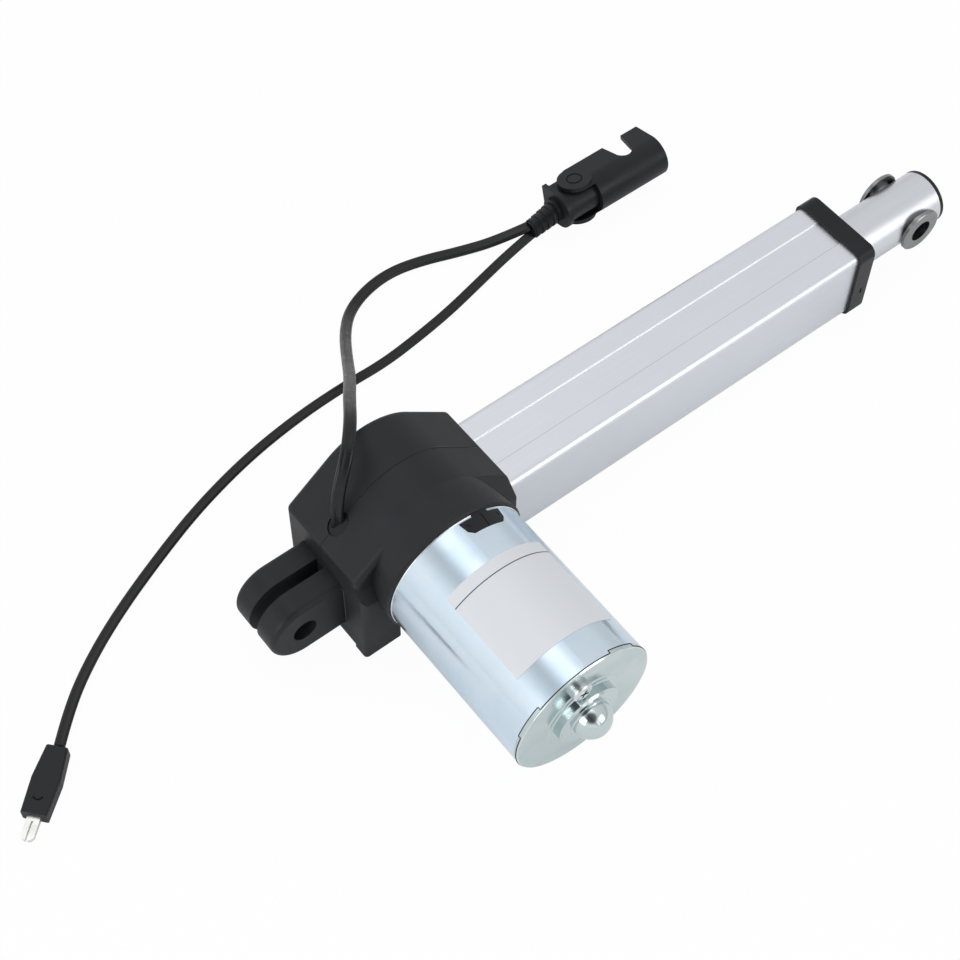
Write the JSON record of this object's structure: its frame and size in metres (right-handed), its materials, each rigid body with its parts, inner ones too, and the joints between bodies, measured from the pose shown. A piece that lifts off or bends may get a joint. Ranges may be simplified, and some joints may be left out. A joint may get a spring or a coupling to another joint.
{
  "type": "electric linear actuator",
  "caption": "Right-angle electric linear actuator with worm-driven screw, square tube, push rod with eye, rear clevis and wired connector.",
  "frame": {"origin": "middle of the rear clevis bore, on the bore's axis and in the middle of its two ears", "axes": "+X along the push rod towards its eye, Y along both fixing pins with the motor on the -Y side, +Z from the screw towards the motor's axis"},
  "size_m": [0.459, 0.2403, 0.0827],
  "materials": {
    "bearing_steel": "ground",
    "black_abs": "fine textured plastic",
    "black_nylon": "glass-filled nylon, fine moulded grain",
    "blade_tin": "tinned contact",
    "board_epoxy": "circuit board",
    "bush_bronze": "sintered bronze, oiled",
    "can_steel": "drawn steel, bright zinc plated, bluish",
    "carbon": "carbon brush",
    "card_brown": "moulded phenolic",
    "contact_brass": "turned contact",
    "copper": "enamelled copper",
    "cord_black": "flat twin PVC lead",
    "eye_steel": "sintered steel, dull",
    "ferrite": "sintered ferrite",
    "gear_nylon": "natural acetal",
    "guide_nylon": "nylon",
    "label_white": "white film, slightly glossy",
    "lamination": "stacked sheet steel",
    "nut_nylon": "natural acetal",
    "plate_steel": "pressed steel, bright zinc plated",
    "rod_aluminium": "turned, clear anodised",
    "screw_steel": "rolled thread, oiled",
    "shaft_steel": "ground",
    "switch_black": "phenolic",
    "tube_aluminium": "extruded, clear anodised, faint drawing lines",
    "wiper_rubber": "nitrile",
    "zinc_screw": "zinc plated"
  },
  "bodies": {
    "housing": {"rear_clevis": "black_nylon", "housing_far": "black_nylon", "housing_near": "black_nylon", "housing_screws": "zinc_screw", "outer_tube": "tube_aluminium", "front_end_cap": "black_abs", "rod_guide_bush": "nut_nylon", "wiper_seal": "wiper_rubber", "rear_bearing_outer_ring": "bearing_steel", "front_bearing_outer_ring": "bearing_steel", "limit_switch_board": "board_epoxy", "limit_switches": "switch_black", "motor_can": "can_steel", "motor_end_plate": "plate_steel", "end_plate_screws": "zinc_screw", "motor_bracket": "plate_steel", "bracket_screws": "zinc_screw", "motor_magnets": "ferrite", "brush_holder": "card_brown", "brushes": "carbon", "motor_rear_bush": "bush_bronze", "motor_front_bearing": "bearing_steel", "worm_tip_bush": "bush_bronze", "rating_label": "label_white", "motor_lead": "cord_black", "supply_lead": "cord_black", "connector_body": "black_abs", "lock_pivots": "black_abs", "connector_contacts": "contact_brass", "strain_relief": "cord_black", "small_plug": "black_abs", "plug_blade": "blade_tin"},
    "push_rod": {"push_rod_tube": "rod_aluminium", "rod_end_plug": "black_abs", "drive_nut": "nut_nylon", "nut_guide": "guide_nylon", "nut_pins": "zinc_screw", "near_eye_bush": "eye_steel", "far_eye_bush": "eye_steel"},
    "screw": {"lead_screw": "screw_steel", "worm_wheel": "gear_nylon", "wheel_key": "shaft_steel", "lock_nut": "zinc_screw", "rear_bearing_inner_ring": "bearing_steel", "front_bearing_inner_ring": "bearing_steel", "rear_bearing_balls": "bearing_steel", "front_bearing_balls": "bearing_steel"},
    "armature": {"armature_shaft": "shaft_steel", "lamination_stack": "lamination", "armature_windings": "copper", "commutator": "copper"},
    "lock": {"lock_shell": "black_abs"}
  },
  "joints": [
    {"name": "rod_slide", "type": "slide", "parent": "housing", "child": "push_rod", "axis": [1, 0, 0], "range_m": [0, 0.15]},
    {"name": "screw_spin", "type": "hinge", "parent": "housing", "child": "screw", "pos_m": [0.0543, 0, 0], "axis": [1, 0, 0], "continuous": true},
    {"name": "armature_spin", "type": "hinge", "parent": "housing", "child": "armature", "pos_m": [0.0543, -0.06, 0.0183], "axis": [0, 1, 0], "continuous": true},
    {"name": "lock_swing", "type": "hinge", "parent": "housing", "child": "lock", "pos_m": [0.2226, 0.0982, -0.0113], "axis": [0, -0.2588, -0.9659], "range_deg": [0, 60]}
  ],
  "couplings": [
    {"joint": "screw_spin", "follows": "rod_slide", "rad_per_m": -1570.8},
    {"joint": "armature_spin", "follows": "rod_slide", "rad_per_m": -40841}
  ]
}
